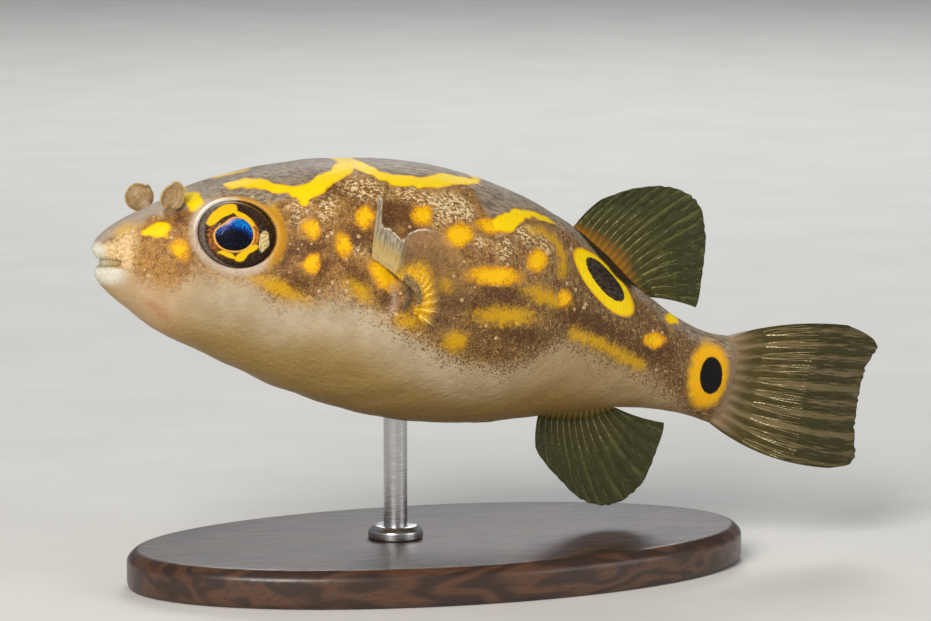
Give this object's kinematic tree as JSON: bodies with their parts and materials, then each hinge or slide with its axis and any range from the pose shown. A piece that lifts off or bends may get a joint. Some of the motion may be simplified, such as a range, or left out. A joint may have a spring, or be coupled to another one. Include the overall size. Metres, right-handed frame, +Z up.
{
  "type": "freshwater pufferfish model",
  "caption": "Life-size still model of a small freshwater pufferfish, yellow lines and ringed eyespots on brown, held nose-up by a rod on an oval base.",
  "frame": {"origin": "centre of the box that bounds fish and stand, at the underside of the base", "axes": "+Z up, head toward -X, tail toward +X, the fish's left side toward -Y"},
  "size_m": [0.07, 0.03, 0.0354],
  "materials": {
    "skin": "moist fish skin, brown back and white belly with yellow marks, satin",
    "lip": "pale fleshy lip, satin",
    "tooth": "ivory beak plate, smooth",
    "eye": "wet, very glossy, gold and dark brown iris round a blue-black pupil",
    "tentacle": "thin translucent tan flap",
    "fin": "thin translucent olive membrane over pale rays",
    "pectoral": "translucent tan membrane, yellow at the root",
    "stand_wood": "dark stained, satin varnish",
    "stand_metal": "brushed"
  },
  "bodies": {
    "root": {"head": "skin", "trunk": "skin", "tail_stalk": "skin", "upper_lip": "lip", "lower_lip": "lip", "tooth_plate_upper": "tooth", "tooth_plate_lower": "tooth", "eye_left": "eye", "eye_right": "eye", "nasal_tentacle_left": "tentacle", "nasal_tentacle_right": "tentacle", "dorsal_fin": "fin", "anal_fin": "fin", "caudal_fin": "fin", "pectoral_fin_left": "pectoral", "pectoral_fin_right": "pectoral", "stand_base": "stand_wood", "stand_rod": "stand_metal", "stand_collar": "stand_metal"}
  },
  "joints": []
}
